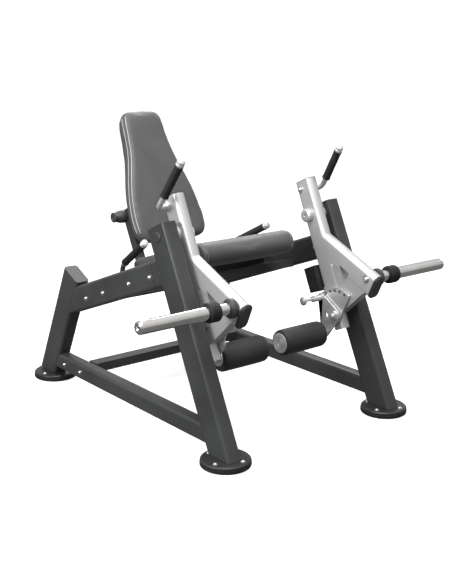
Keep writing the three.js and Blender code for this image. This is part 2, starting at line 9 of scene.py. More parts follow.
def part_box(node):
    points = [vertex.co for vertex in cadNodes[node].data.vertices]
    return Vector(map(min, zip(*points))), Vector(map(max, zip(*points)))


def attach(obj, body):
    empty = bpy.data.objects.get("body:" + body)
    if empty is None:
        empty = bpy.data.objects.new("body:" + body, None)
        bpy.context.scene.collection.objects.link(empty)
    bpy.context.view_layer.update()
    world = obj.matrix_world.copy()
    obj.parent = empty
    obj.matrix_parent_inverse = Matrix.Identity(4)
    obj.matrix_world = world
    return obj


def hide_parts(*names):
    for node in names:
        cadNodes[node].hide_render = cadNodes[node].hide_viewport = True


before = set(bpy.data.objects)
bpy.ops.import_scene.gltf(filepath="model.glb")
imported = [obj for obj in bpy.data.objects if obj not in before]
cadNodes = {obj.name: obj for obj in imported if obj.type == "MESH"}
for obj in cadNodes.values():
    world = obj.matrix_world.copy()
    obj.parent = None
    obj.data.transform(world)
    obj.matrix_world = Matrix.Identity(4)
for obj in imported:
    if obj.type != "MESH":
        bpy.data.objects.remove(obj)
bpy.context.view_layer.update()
sides = (("left", 1), ("right", -1))    # the user's left is +X
clearance = 0.0004                      # left between turned pieces that touch


# shader helpers

class Wire:
    # a shader socket that can stand in a Python sum
    def __init__(self, finish, socket):
        self.finish = finish
        self.socket = socket

    def sum(self, operation, first, second):
        return self.finish.node("ShaderNodeMath", {"operation": operation}, {0: first, 1: second})

    def __add__(self, other):
        return self.sum("ADD", self, other)

    def __radd__(self, other):
        return self.sum("ADD", other, self)

    def __sub__(self, other):
        return self.sum("SUBTRACT", self, other)

    def __rsub__(self, other):
        return self.sum("SUBTRACT", other, self)

    def __mul__(self, other):
        return self.sum("MULTIPLY", self, other)

    def __rmul__(self, other):
        return self.sum("MULTIPLY", other, self)

class Finish:
    # a material while it is being put together
    def __init__(self, name):
        self.material = bpy.data.materials.new(name)
        self.material.use_nodes = True
        self.tree = self.material.node_tree
        self.shader = self.tree.nodes["Principled BSDF"]
        self.place = self.node("ShaderNodeTexCoord", out="Object")

    def feed(self, socket, value):
        if isinstance(value, Wire):
            self.tree.links.new(value.socket, socket)
        else:
            socket.default_value = value

    def node(self, kind, settings=None, sockets=None, out=0):
        made = self.tree.nodes.new(kind)
        for key, value in (settings or {}).items():
            if key == "stops":
                ramp = made.color_ramp
                ramp.elements[0].position, ramp.elements[1].position = value[0][0], value[-1][0]
                for spot, shade in value[1:-1]:
                    ramp.elements.new(spot)
                for element, (spot, shade) in zip(ramp.elements, value):
                    element.color = (shade, shade, shade, 1)
            else:
                setattr(made, key, value)
        for key, value in (sockets or {}).items():
            self.feed(made.inputs[key], value)
        return Wire(self, made.outputs[out])

    def noise(self, scale, detail=2.0, rough=0.5, stretch=(1, 1, 1)):
        vector = self.node("ShaderNodeMapping", None, {"Vector": self.place, "Scale": stretch})
        return self.node("ShaderNodeTexNoise", None,
                         {"Vector": vector, "Scale": scale, "Detail": detail, "Roughness": rough})

    def cells(self, scale, feature="F1", stretch=(1, 1, 1)):
        vector = self.node("ShaderNodeMapping", None, {"Vector": self.place, "Scale": stretch})
        return self.node("ShaderNodeTexVoronoi", {"feature": feature}, {"Vector": vector, "Scale": scale},
                         out="Distance")

    def band(self, value, low, high):
        return self.node("ShaderNodeMapRange", {"clamp": True},
                         {"Value": value, "From Min": low, "From Max": high, "To Min": 0.0, "To Max": 1.0})

    def mixed(self, amount, first, second):
        return self.node("ShaderNodeMix", {"data_type": "RGBA"}, {0: amount, 6: first, 7: second}, out=2)

    def bump(self, height, distance, strength=1.0, under=None):
        sockets = {"Height": height, "Distance": distance, "Strength": strength}
        if under is not None:
            sockets["Normal"] = under
        return self.node("ShaderNodeBump", None, sockets)

    def done(self, colour, roughness, normal=None, **fixed):
        self.feed(self.shader.inputs["Base Color"], colour)
        self.feed(self.shader.inputs["Roughness"], roughness)
        if normal is not None:
            self.feed(self.shader.inputs["Normal"], normal)
        for key, value in fixed.items():
            self.feed(self.shader.inputs[key.replace("_", " ")], value)
        return self.material


def grey(value, tint=0.0):
    return (value * (1 - tint), value, value * (1 + tint), 1)


# finishes

powder = {"deep": 0.036, "light": 0.050, "tint": 0.03, "roughness": 0.38, "peel": 0.00035, "grain": 0.00012}


# depth scales the whole colour; at 0.5 it paints shade onto the foot plates
def powderCoat(name="powderCoat", depth=1.0):
    f = Finish(name)
    cloud = f.noise(5.0, 3.0)
    peel = f.noise(260.0, 2.0)
    grain = f.noise(1500.0, 1.0)
    colour = f.mixed(f.band(cloud, 0.35, 0.65), grey(powder["deep"] * depth, powder["tint"]),
                     grey(powder["light"] * depth, powder["tint"]))
    fleck = f.band(grain, 0.62, 0.75)
    colour = f.mixed(fleck * 0.30, colour, grey(0.13))
    rough = powder["roughness"] + (cloud - 0.5) * 0.18 + (grain - 0.5) * 0.12
    normal = f.bump(grain, powder["grain"], 0.5, f.bump(peel, powder["peel"], 0.35))
    return f.done(colour, rough, normal, Specular_IOR_Level=0.38)


silver = {"deep": 0.36, "light": 0.44, "roughness": 0.38, "peel": 0.0003}


def silverPaint():
    f = Finish("silverPaint")
    cloud = f.noise(6.0, 3.0)
    flake = f.cells(1700.0)
    peel = f.noise(220.0, 2.0)
    colour = f.mixed(f.band(cloud, 0.35, 0.65), grey(silver["deep"], 0.01), grey(silver["light"], 0.01))
    colour = f.mixed(f.band(flake, 0.05, 0.35) * 0.25, grey(0.62), colour)
    rough = silver["roughness"] + (cloud - 0.5) * 0.14 + (flake - 0.3) * 0.08
    normal = f.bump(flake, 0.00006, 0.25, f.bump(peel, silver["peel"], 0.25))
    return f.done(colour, rough, normal, Metallic=0.55, Coat_Weight=0.15, Coat_Roughness=0.25)


def polishedSteel():
    f = Finish("polishedSteel")
    rings = f.noise(1.0, 4.0, 0.65, stretch=(420, 9, 9))       # fine scores from plates sliding on the horn
    cloud = f.noise(14.0, 3.0)
    colour = f.mixed(f.band(cloud, 0.4, 0.7), grey(0.74, -0.02), grey(0.84, -0.015))
    rough = 0.11 + f.band(rings, 0.5, 0.85) * 0.12 + f.band(cloud, 0.5, 0.75) * 0.08
    return f.done(colour, rough, f.bump(rings, 0.00003, 0.12), Metallic=1.0)


def satinSteel(name="satinSteel"):
    f = Finish(name)
    lines = f.noise(1.0, 3.0, 0.6, stretch=(900, 120, 120))
    cloud = f.noise(20.0, 2.0)
    colour = f.mixed(f.band(cloud, 0.35, 0.7), grey(0.62), grey(0.76))
    rough = 0.32 + (lines - 0.5) * 0.2 + (cloud - 0.5) * 0.12
    return f.done(colour, rough, f.bump(lines, 0.00006, 0.3), Metallic=0.65)


def blackRubber():
    f = Finish("blackRubber")
    grain = f.noise(900.0, 3.0)
    dust = f.noise(18.0, 4.0, 0.6)
    colour = f.mixed(f.band(dust, 0.5, 0.8) * 0.6, grey(0.014), grey(0.034))
    rough = 0.62 + (grain - 0.5) * 0.2 + (dust - 0.5) * 0.15
    return f.done(colour, rough, f.bump(grain, 0.0004, 0.4), Specular_IOR_Level=0.3)


def rollerFoam():
    f = Finish("rollerFoam")
    skin = f.cells(520.0)
    fine = f.noise(1400.0, 2.0)
    cloud = f.noise(9.0, 3.0)
    colour = f.mixed(f.band(cloud, 0.35, 0.7), grey(0.020, 0.02), grey(0.032, 0.02))
    rough = 0.50 + (skin - 0.3) * 0.25 + (cloud - 0.5) * 0.1
    normal = f.bump(fine, 0.0002, 0.3, f.bump(skin, 0.0005, 0.45))
    return f.done(colour, rough, normal, Sheen_Weight=0.05, Specular_IOR_Level=0.3)


vinylLook = {
    "deep": 0.062, "light": 0.080, "tint": 0.02, "roughness": 0.40, "grainScale": 430.0, "grainDepth": 0.0007,
}


def greyVinyl(name="greyVinyl", lift=0.0):
    f = Finish(name)
    warp = f.noise(90.0, 2.0)
    grain = f.cells(vinylLook["grainScale"], "DISTANCE_TO_EDGE", (1.0, 0.85, 0.85))
    pebble = f.band(grain, 0.0, 0.12)
    cloud = f.noise(7.0, 3.0)
    pores = f.noise(1600.0, 1.0)
    colour = f.mixed(f.band(cloud, 0.35, 0.65), grey(vinylLook["deep"] + lift, vinylLook["tint"]),
                     grey(vinylLook["light"] + lift, vinylLook["tint"]))
    colour = f.mixed((1 - pebble) * 0.35, colour, grey(0.035))
    rough = vinylLook["roughness"] + (1 - pebble) * 0.14 + (cloud - 0.5) * 0.12 + (warp - 0.5) * 0.08
    normal = f.bump(pores, 0.0001, 0.25, f.bump(pebble, vinylLook["grainDepth"], 0.35))
    return f.done(colour, rough, normal, Sheen_Weight=0.12, Sheen_Roughness=0.4)


def seamThread(name="seamThread", light=0.95, deep=0.78):
    f = Finish(name)
    twist = f.node("ShaderNodeTexWave", {"bands_direction": "DIAGONAL"},
                   {"Vector": f.place, "Scale": 900.0, "Distortion": 1.0}, out=1)
    return f.done(f.mixed(twist * 0.5, grey(light), grey(deep)), 0.6 + (twist - 0.5) * 0.1,
                  f.bump(twist, 0.0002, 0.4))


def mouldedPlastic():
    f = Finish("mouldedPlastic")
    grain = f.noise(700.0, 2.0)
    cloud = f.noise(12.0, 3.0)
    colour = f.mixed(f.band(cloud, 0.4, 0.7), grey(0.040), grey(0.056))
    rough = 0.46 + (grain - 0.5) * 0.16 + (cloud - 0.5) * 0.12
    return f.done(colour, rough, f.bump(grain, 0.0003, 0.35))


def holeShadeAndCapBlack():
    # near-black with a mottled tone: painted shade on the discs behind the sector's holes, and the own black
    # of the arm-top cap
    f = Finish("holeShadeAndCapBlack")
    mottle = f.noise(160.0, 3.0)
    return f.done(f.mixed(f.band(mottle, 0.4, 0.7), grey(0.010), grey(0.022)), 0.7 + (mottle - 0.5) * 0.2,
                  f.bump(mottle, 0.0002, 0.3))


paints = {
    "frame": (powderCoat(), "frame_paint"),
    # the foot plates take the frame's powder coat at half brightness: painted shade for the darker light low
    # down near the floor
    "footPaintShaded": (powderCoat("footPaintShaded", 0.5), "frame_paint"),
    "arm": (silverPaint(), "arm_paint"),
    "chrome": (polishedSteel(), "chrome"),
    "steel": (satinSteel(), "steel"),
    "satin": (satinSteel("satinChrome"), "chrome"),
    "plate": (satinSteel("platedSteel"), "arm_paint"),
    # bore: painted shade behind the sector's holes, and the own black of the arm-top cap
    "bore": (holeShadeAndCapBlack(), "arm_paint"),
    "rubber": (blackRubber(), "rubber"),
    "foam": (rollerFoam(), "foam"),
    "vinyl": (greyVinyl(), "vinyl"),
    "thread": (seamThread(), "vinyl"),
    "darkThread": (seamThread("darkThread", 0.30, 0.18), "vinyl"),
    "welt": (greyVinyl("weltVinyl", 0.16), "vinyl"),
    "plastic": (mouldedPlastic(), "cap_plastic"),
}
print("finishes made")


# mesh helpers

def soften(bm, width, segments=2, angle=35):
    edges = [e for e in bm.edges if len(e.link_faces) == 2 and e.calc_face_angle(0) > math.radians(angle)]
    bmesh.ops.bevel(bm, geom=edges, offset=width, offset_type="OFFSET", segments=segments, profile=0.5,
                    affect="EDGES", clamp_overlap=True, material=-1)


def place(name, bm, paint, body, stands=(), smooth=40):
    mesh = bpy.data.meshes.new(name)
    bm.to_mesh(mesh)
    bm.free()
    return placeMesh(name, mesh, paint, body, stands, smooth)


def placeMesh(name, mesh, paint, body, stands=(), smooth=40):
    material, slotName = paints[paint]
    mesh.materials.clear()
    mesh.materials.append(material)
    mesh.shade_smooth()
    mesh.set_sharp_from_angle(angle=math.radians(smooth))
    piece = bpy.data.objects.new(name, mesh)
    bpy.context.scene.collection.objects.link(piece)
    if smooth < 180:
        evened = piece.modifiers.new("flats", "WEIGHTED_NORMAL")
        evened.keep_sharp = True
    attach(piece, body)
    if stands:
        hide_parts(*stands)
    return piece


cleaning = {"sameSpot": 2e-5, "sameFlat": 0.8}


def merged(node):
    # the solid's loose triangles, joined up and with each flat made one face
    bm = bmesh.new()
    bm.from_mesh(cadNodes[node].data)
    bmesh.ops.remove_doubles(bm, verts=bm.verts, dist=cleaning["sameSpot"])
    bmesh.ops.dissolve_limit(bm, angle_limit=math.radians(cleaning["sameFlat"]), verts=bm.verts,
                             edges=bm.edges)
    return bm


def dressed(node, paint, body, width, segments=2, angle=35):
    bm = merged(node)
    soften(bm, width, segments, angle)
    return place(node + "_finish", bm, paint, body, [node])


def turned(profile, start, toward, segments=48, closed=False, edge=0.0006):
    # spins a profile of (distance along, radius) round the line from start
    bm = bmesh.new()
    points = [bm.verts.new((r, 0, d)) for d, r in profile]
    pairs = list(zip(points, points[1:])) + ([(points[-1], points[0])] if closed else [])
    edges = [bm.edges.new(pair) for pair in pairs]
    bmesh.ops.spin(bm, geom=points + edges, cent=(0, 0, 0), axis=(0, 0, 1), angle=2 * math.pi,
                   steps=segments, use_merge=True)
    bmesh.ops.remove_doubles(bm, verts=bm.verts, dist=1e-6)
    bmesh.ops.recalc_face_normals(bm, faces=bm.faces)
    if edge:
        soften(bm, edge, 2, 28)
    turn = Vector((0, 0, 1)).rotation_difference(Vector(toward)).to_matrix().to_4x4()
    bm.transform(Matrix.Translation(start) @ turn)
    return bm


def joined(*parts):
    whole = bmesh.new()
    for part in parts:
        mesh = bpy.data.meshes.new("part")
        part.to_mesh(mesh)
        whole.from_mesh(mesh)
        part.free()
        bpy.data.meshes.remove(mesh)
    return whole


def tube(points, radius, sides=20):
    line = bpy.data.curves.new("line", "CURVE")
    line.dimensions = "3D"
    line.bevel_depth = radius
    line.bevel_resolution = sides // 4 - 1
    line.use_fill_caps = True
    line.resolution_u = 10
    spline = line.splines.new("BEZIER")
    spline.bezier_points.add(len(points) - 1)
    for knot, point in zip(spline.bezier_points, points):
        knot.co = point
        knot.handle_left_type = knot.handle_right_type = "AUTO"
    holder = bpy.data.objects.new("line", line)
    bpy.context.scene.collection.objects.link(holder)
    bpy.context.view_layer.update()
    mesh = bpy.data.meshes.new_from_object(holder.evaluated_get(bpy.context.evaluated_depsgraph_get()))
    bm = bmesh.new()
    bm.from_mesh(mesh)
    bmesh.ops.remove_doubles(bm, verts=bm.verts, dist=1e-6)
    bmesh.ops.recalc_face_normals(bm, faces=bm.faces)
    bpy.data.objects.remove(holder)
    bpy.data.meshes.remove(mesh)
    return bm


def middle(node):
    low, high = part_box(node)
    return (low + high) / 2


# welded frame

tubeFinish = {"edge": 0.0012, "plateEdge": 0.002, "stopEdge": 0.003}


def buildFrame():
    for label, side in sides:
        for name in ("front_leg", "rear_post", "side_tube", "base_tube", "seat_rail"):
            dressed(f"{name}_{label}", "frame", "frame", tubeFinish["edge"])
        dressed(f"arm_stop_{label}", "rubber", "frame", tubeFinish["stopEdge"], 3)
    for name in ("seat_pan", "seat_cross_front", "seat_cross_rear", "base_cross"):
        dressed(name, "frame", "frame", tubeFinish["edge"])


footShape = {
    "radius": 0.095, "pad": 0.016, "plate": 0.012,
    "boltRing": 0.072, "boltAngles": (20, 110, 200, 290), "bolt": 0.006,
}


def buildFeet():
    r, pad, plate = footShape["radius"], footShape["pad"], footShape["plate"]
    for label, side in sides:
        for where in ("front", "rear"):
            low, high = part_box(f"foot_pad_{where}_{label}")
            centre = Vector(((low.x + high.x) / 2, (low.y + high.y) / 2, 0))
            profile = [(0, 0), (0, r - 0.006), (0.003, r - 0.002), (pad * 0.4, r), (pad * 0.5, r - 0.0015),
                       (pad * 0.6, r), (pad - 0.001, r), (pad, r - 0.002), (pad, 0)]
            place(f"foot_pad_{where}_{label}_finish", turned(profile, centre, (0, 0, 1), 64, edge=0.0008),
                  "rubber", "frame", [f"foot_pad_{where}_{label}"])
            base = pad + clearance
            profile = [(0, 0), (0, r - 0.001), (plate * 0.55, r - 0.001), (plate - 0.001, r - 0.005),
                       (plate, r - 0.008), (plate, 0)]
            # darkened powder coat on the plates: painted shade
            place(f"foot_plate_{where}_{label}_finish",
                  turned(profile, centre + Vector((0, 0, base)), (0, 0, 1), 64, edge=0.0015),
                  "footPaintShaded", "frame", [f"foot_plate_{where}_{label}"])
            for i, angle in enumerate(footShape["boltAngles"]):
                t = math.radians(angle)
                spot = centre + Vector((math.cos(t), math.sin(t), 0)) * footShape["boltRing"]
                spot.z = base + plate
                place(f"foot_bolt_{where}_{label}_{i + 1}", domeBolt(spot, (0, 0, 1), footShape["bolt"]),
                      "steel", "frame")


boltShape = {
    # height and radius, as shares of the head's radius; the head ends in its socket
    "washer": ((0, 0), (0, 1.45), (0.22, 1.45), (0.22, 0)), "washerEdge": 0.06,
    "head": ((0.2, 0), (0.2, 1.0), (0.5, 0.98), (0.75, 0.82), (0.92, 0.55), (0.92, 0.45), (0.5, 0.38),
             (0.5, 0)),
}


def domeBolt(spot, toward, radius):
    washer, head = ([(radius * d, radius * r) for d, r in boltShape[part]] for part in ("washer", "head"))
    return joined(turned(washer, spot, toward, 24, edge=radius * boltShape["washerEdge"]),
                  turned(head, spot, toward, 24, edge=0))


boltPlan = {
    "faceX": 0.450,
    "side": (0.0078, ((0.275, 0.436), (0.145, 0.486), (-0.045, 0.562), (-0.187, 0.616))),    # radius, spots
    "base": (0.0072, ((0.475, 0.092), (0.345, 0.092))),
}


def buildBolts():
    for label, side in sides:
        for row in ("side", "base"):
            radius, spots = boltPlan[row]
            for i, (y, z) in enumerate(spots):
                head = domeBolt(Vector((side * boltPlan["faceX"], y, z)), (side, 0, 0), radius)
                place(f"{row}_bolt_{label}_{i + 1}", head, "chrome", "frame")


pivotShape = {
    "capRadius": 0.028, "shaft": 0.015, "outer": 0.021, "socket": 0.0055, "socketDeep": 0.008,
    "capEnd": 0.3156, "legEnd": 0.4524, "plugGap": 0.0002,
}


def buildPivots():
    p = pivotShape
    for label, side in sides:
        low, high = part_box(f"pivot_shaft_{label}")
        mid = (low + high) / 2
        inner, outer = (low.x, high.x) if side > 0 else (high.x, low.x)
        start = Vector((inner, mid.y, mid.z))
        length = abs(outer - inner)
        capEnd = abs(side * p["capEnd"] - inner)
        legEnd = abs(side * p["legEnd"] - inner)
        r, socket, deep, shaftEnd = p["capRadius"], p["socket"], p["socketDeep"], legEnd - p["plugGap"]
        profile = [(deep, 0), (deep, socket), (0.0008, socket), (0.0, socket + 0.001), (0.0, r - 0.008),
                   (0.0012, r - 0.006), (0.0035, r - 0.0015), (0.006, r), (capEnd, r), (capEnd, p["shaft"]),
                   (shaftEnd, p["shaft"]), (shaftEnd, 0)]
        place(f"pivot_shaft_{label}_finish", turned(profile, start, (side, 0, 0)), "satin", "frame",
              [f"pivot_shaft_{label}"])
        r = p["outer"]
        plug = [(legEnd, 0), (legEnd, r), (legEnd + 0.0015, r), (length - 0.001, r - 0.003),
                (length, r - 0.006), (length, 0)]
        place(f"leg_plug_{label}", turned(plug, start, (side, 0, 0)), "frame", "frame")


# lever arms

gripLook = {"rib": 0.0007, "pitch": 0.006, "plain": 0.008, "rim": 0.0012, "bore": 0.0116}


def ribbedSleeve(start, toward, length, radius):
    g = gripLook
    rim, groove = radius + g["rim"], radius - g["rib"]
    profile = [(0, g["bore"]), (0, rim), (0.004, rim), (0.0055, radius)]
    count = int((length - 2 * g["plain"]) / g["pitch"])
    for i in range(count):
        d = g["plain"] + i * g["pitch"]
        profile += [(d, radius), (d + 0.001, groove), (d + 0.002, groove), (d + 0.003, radius)]
    profile += [(length - 0.004, radius), (length - 0.003, rim), (length, radius + g["rim"] / 2),
                (length, g["bore"])]
    return turned(profile, start, toward, 40, closed=True, edge=0)


handleShape = {
    "low": (0.416, -0.232, 0.915), "high": (0.401, -0.322, 1.056), "root": (0.3664, -0.190, 0.878),
    "bend": ((0.396, -0.189, 0.877), (0.415, -0.208, 0.886)), "radius": 0.011, "sunk": 0.002,
    "flange": ((0, 0), (0, 0.019), (0.007, 0.019), (0.011, 0.0135), (0.012, 0)),
    "cap": ((-0.014, 0), (-0.014, 0.0150), (-0.012, 0.0160), (-0.006, 0.0160), (-0.005, 0.0145),
            (-0.003, 0.0145), (-0.002, 0.0160), (0.006, 0.0160), (0.0105, 0.0125), (0.013, 0.007),
            (0.0125, 0)),
    "gripRadius": 0.0160, "gripFrom": 0.012, "gripShort": 0.0264,
}


def mirrored(side, point):
    return Vector((side * point[0], point[1], point[2]))


def buildHandles():
    h = handleShape
    for label, side in sides:
        low, high, root = (mirrored(side, h[name]) for name in ("low", "high", "root"))
        lift = (high - low).normalized()
        bend = [mirrored(side, point) for point in h["bend"]]
        line = [root + Vector((side * h["sunk"], 0, 0)), *bend, low, low.lerp(high, 0.5), high]
        rod = tube(line, h["radius"], 24)
        flange = turned(h["flange"], root, (side, 0, 0), 40)
        cap = turned(h["cap"], high, lift, 40)
        place(f"arm_handle_{label}_finish", joined(rod, flange, cap), "steel", f"arm_{label}",
              [f"arm_handle_{label}"])
        reach = (high - low).length
        sleeve = ribbedSleeve(low + lift * h["gripFrom"], lift, reach - h["gripShort"], h["gripRadius"])
        place(f"arm_grip_{label}_finish", sleeve, "rubber", f"arm_{label}", [f"arm_grip_{label}"])


hornShape = {
    "boss": 0.036, "neck": 0.022, "radius": 0.024, "tip": 0.771,
    "collar": 0.036, "collarStart": 0.438, "collarEnd": 0.483,
}


def buildHorns():
    s = hornShape
    for label, side in sides:
        mid = middle(f"horn_sleeve_{label}")
        low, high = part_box(f"horn_boss_{label}")
        bossIn = min(abs(low.x), abs(high.x))
        bossOut = max(abs(low.x), abs(high.x))
        axis = Vector((side, 0, 0))
        at = Vector((0, mid.y, mid.z))
        body = f"arm_{label}"
        r = s["boss"]
        profile = [(bossIn, 0), (bossIn, r), (bossOut - 0.006, r), (bossOut - 0.001, r - 0.005),
                   (bossOut, r - 0.007), (bossOut, 0)]
        place(f"horn_boss_{label}_finish", turned(profile, at, axis), "plastic", body, [f"horn_boss_{label}"])
        root, neckEnd, tip, r = bossOut + clearance, s["collarEnd"] + clearance, s["tip"], s["radius"]
        profile = [(root, 0), (root, s["neck"]), (neckEnd, s["neck"]), (neckEnd, r), (tip - 0.010, r),
                   (tip - 0.0095, r - 0.0008), (tip - 0.0085, r - 0.0008), (tip - 0.008, r),
                   (tip - 0.004, r - 0.001), (tip, r - 0.006), (tip, 0.009), (tip - 0.004, 0.0075),
                   (tip - 0.004, 0)]
        place(f"horn_sleeve_{label}_finish", turned(profile, at, axis, 64, edge=0.0004), "chrome", body,
              [f"horn_sleeve_{label}"])
        a, b, r = s["collarStart"], s["collarEnd"], s["collar"]
        bore = s["neck"] + clearance
        profile = [(a, bore), (a, r - 0.005), (a + 0.002, r - 0.001), (a + 0.006, r), (a + 0.017, r),
                   (a + 0.019, r - 0.0015), (a + 0.026, r - 0.0015), (a + 0.028, r), (b - 0.006, r),
                   (b - 0.002, r - 0.001), (b, r - 0.005), (b, bore)]
        place(f"horn_collar_{label}_finish", turned(profile, at, axis, 56, closed=True), "rubber", body,
              [f"horn_collar_{label}"])


armDetail = {
    "edge": 0.0015, "plateEdge": 0.0008,
    "boltFace": 0.316, "bolts": ((-0.190, 0.878, 0.010), (-0.578, 0.570, 0.011)),    # y, z, radius
}


def buildArms():
    for label, side in sides:
        body = f"arm_{label}"
        dressed(f"lever_arm_{label}", "arm", body, armDetail["edge"])
        dressed(f"branch_cap_{label}", "plastic", body, armDetail["edge"])
        dressed(f"index_sector_{label}", "plate", body, armDetail["plateEdge"])
        buildPaintedHoleShade(label, side)
        buildArmTop(label, side)
        for i, (y, z, radius) in enumerate(armDetail["bolts"]):
            spot = Vector((side * armDetail["boltFace"], y, z))
            place(f"arm_bolt_{label}_{i + 1}", domeBolt(spot, (-side, 0, 0), radius), "chrome", body)


indexShape = {
    "swivel": (-0.429, 0.391), "ring": 0.101, "angles": (54, 38.5, 23, 7.5, -8, -23.5),
    "disc": 0.0056, "discX": 0.3145, "thick": 0.001,
}


def buildPaintedHoleShade(label, side):
    # painted shade: thin near-black discs behind the holes of the sector stand in for the shade inside the
    # arm tube seen through them
    n = indexShape
    holes = []
    for angle in n["angles"]:
        t = math.radians(angle)
        at = Vector((side * n["discX"], n["swivel"][0] + n["ring"] * math.sin(t),
                     n["swivel"][1] + n["ring"] * math.cos(t)))
        disc = [(0, 0), (0, n["disc"]), (n["thick"], n["disc"]), (n["thick"], 0)]
        holes.append(turned(disc, at, (side, 0, 0), 20, edge=0))
    place(f"index_hole_shade_{label}", joined(*holes), "bore", f"arm_{label}")


armTopShape = {
    "x": 0.341, "y": -0.194, "z": 0.915, "lean": 24.5, "half": (0.0245, 0.0455),
    "round": 0.019, "thick": 0.0025, "edge": 0.0007, "above": 0.0002,
}


def buildArmTop(label, side):
    # thin dark insert that closes the top of the tube
    c = armTopShape
    bm = bmesh.new()
    bmesh.ops.create_cube(bm, size=1.0)
    bm.transform(Matrix.Diagonal((2 * c["half"][0], 2 * c["half"][1], c["thick"], 1)))
    upright = [e for e in bm.edges if abs(e.verts[0].co.z - e.verts[1].co.z) > c["thick"] / 2]
    bmesh.ops.bevel(bm, geom=upright, offset=c["round"], offset_type="OFFSET", segments=6, profile=0.5,
                    affect="EDGES", clamp_overlap=True, material=-1)
    soften(bm, c["edge"], 2, 60)
    turn = Matrix.Rotation(math.radians(-c["lean"]), 4, "X")
    centre = Vector((side * c["x"], c["y"], c["z"])) + turn @ Vector((0, 0, c["thick"] / 2 + c["above"]))
    bm.transform(Matrix.Translation(centre) @ turn)
    place(f"arm_top_{label}", bm, "bore", f"arm_{label}")


rollerShape = {
    "radius": 0.053, "inner": 0.048, "outer": 0.272, "disc": 0.041, "core": 0.016, "axle": 0.0104,
    "flange": 0.003, "rim": 0.030, "socket": 0.005, "crown": 0.0004,
    # rings turned into the end disc: depth, radius
    "rings": ((0.0026, 0), (0.0026, 0.006), (0.0012, 0.0072), (0.0012, 0.0088), (0.003, 0.0100),
              (0.003, 0.0165), (0.0016, 0.0177), (0.0016, 0.0193), (0.003, 0.0205), (0.003, 0.0270),
              (0.0016, 0.0282), (0.0016, 0.0298), (0.003, 0.0310)),
    "shoulder": ((0, 0.012), (0.001, 0.008), (0.004, 0.003), (0.010, 0.0005), (0.02, 0)),    # of the foam
}


def buildRollers():
    s = rollerShape
    for label, side in sides:
        body = f"roller_{label}"
        mid = middle(f"roller_foam_{label}")
        at = Vector((0, mid.y, mid.z))
        axis = Vector((side, 0, 0))
        i, o, disc = s["inner"], s["outer"], s["disc"]
        core, flange, r = s["core"], s["flange"], s["radius"]
        profile = [(i - depth, out) for depth, out in s["rings"]]
        profile += [(i - flange, disc - flange), (i - flange / 2, disc), (i, disc), (i, core),
                    (o - flange, core), (o - flange, s["rim"]), (o, s["rim"] - 0.001), (o, s["axle"]),
                    (i + s["socket"], s["axle"]), (i + s["socket"], 0)]
        place(f"roller_core_{label}_finish", turned(profile, at, axis, 56, edge=0.0004), "steel", body,
              [f"roller_core_{label}"])
        a, b = i + clearance, o - flange - clearance
        bore = core + clearance
        profile = [(a, bore)] + [(a + inset, r - drop) for inset, drop in s["shoulder"]]
        profile += [((a + b) / 2, r + s["crown"])]
        profile += [(b - inset, r - drop) for inset, drop in reversed(s["shoulder"])] + [(b, bore)]
        sleeve = turned(profile, at, axis, 64, closed=True, edge=0)
        foam = place(f"roller_foam_{label}_finish", sleeve, "foam", body, [f"roller_foam_{label}"], 60)


linkShape = {"edge": 0.001, "bolt": 0.0105, "boltFace": 0.2896, "knob": 0.018, "stem": 0.006}


def buildLinks():
    s = linkShape
    for label, side in sides:
        dressed(f"roller_link_{label}", "plate", f"link_{label}", s["edge"])
        hinge = Vector((side * s["boltFace"], *indexShape["swivel"]))
        place(f"link_bolt_{label}", domeBolt(hinge, (-side, 0, 0), s["bolt"]), "steel", f"link_{label}")
        low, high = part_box(f"pull_pin_{label}")
        mid = (low + high) / 2
        start, length = (low.x if side > 0 else high.x), high.x - low.x
        k, stem = s["knob"], s["stem"]
        profile = [(0.0, 0), (0.0, k - 0.008), (0.002, k - 0.004), (0.005, k - 0.0005), (0.006, k),
                   (0.0115, k), (0.0125, k - 0.0005), (0.014, k - 0.004), (0.0165, k - 0.008),
                   (0.017, stem + 0.001), (0.019, stem), (length - 0.002, stem), (length, stem - 0.0015),
                   (length, 0)]
        pin = turned(profile, Vector((start, mid.y, mid.z)), (side, 0, 0), 40, edge=0.0003)
        place(f"pull_pin_{label}_finish", pin, "satin", f"pin_{label}", [f"pull_pin_{label}"])


# soft goods

softening = {
    "voxel": 0.005, "frames": 20, "pressure": 4.0, "mass": 0.4, "stretch": 40, "shear": 20, "bending": 4,
}


def remeshed(bm):
    # the blank of a pad, cut into even squares that the cloth can work on
    mesh = bpy.data.meshes.new("blank")
    bm.to_mesh(mesh)
    bm.free()
    holder = bpy.data.objects.new("blank", mesh)
    bpy.context.scene.collection.objects.link(holder)
    skin = holder.modifiers.new("skin", "REMESH")
    skin.mode = "VOXEL"
    skin.voxel_size = softening["voxel"]
    bpy.context.view_layer.update()
    made = bpy.data.meshes.new_from_object(holder.evaluated_get(bpy.context.evaluated_depsgraph_get()))
    bpy.data.objects.remove(holder)
    bpy.data.meshes.remove(mesh)
    return made


